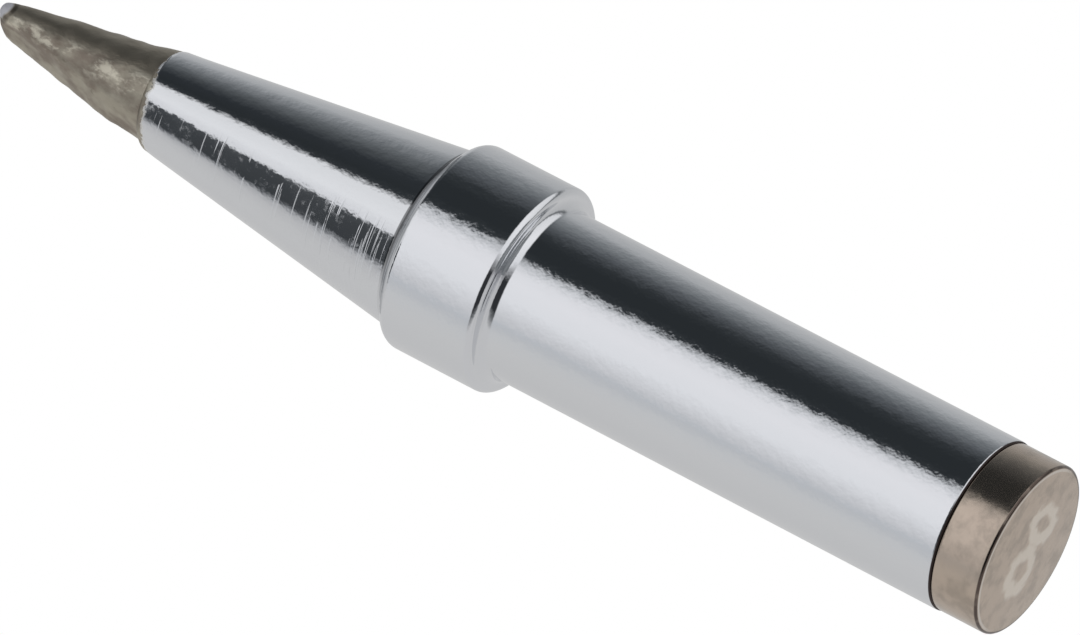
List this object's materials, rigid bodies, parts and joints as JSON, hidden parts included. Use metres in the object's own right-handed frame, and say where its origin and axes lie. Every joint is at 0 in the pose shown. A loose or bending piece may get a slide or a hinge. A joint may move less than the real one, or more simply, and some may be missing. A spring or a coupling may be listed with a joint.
{
  "type": "soldering iron tip",
  "caption": "Plated soldering iron tip with a screwdriver-shaped working end, a collar, a plain shank and a temperature-sensing slug at its rear.",
  "frame": {"origin": "centre of the slug's rear face, on which the tip stands", "axes": "+Z along the tip's axis to its working end, X along the working edge"},
  "size_m": [0.0073, 0.0072, 0.0404],
  "materials": {
    "plated_body": "bright chrome with fine turning marks, dull tinned working end",
    "sensor_alloy": "satin warm grey nickel-iron alloy"
  },
  "bodies": {
    "root": {"tip_body": "plated_body", "sensor_slug": "sensor_alloy"}
  },
  "joints": []
}
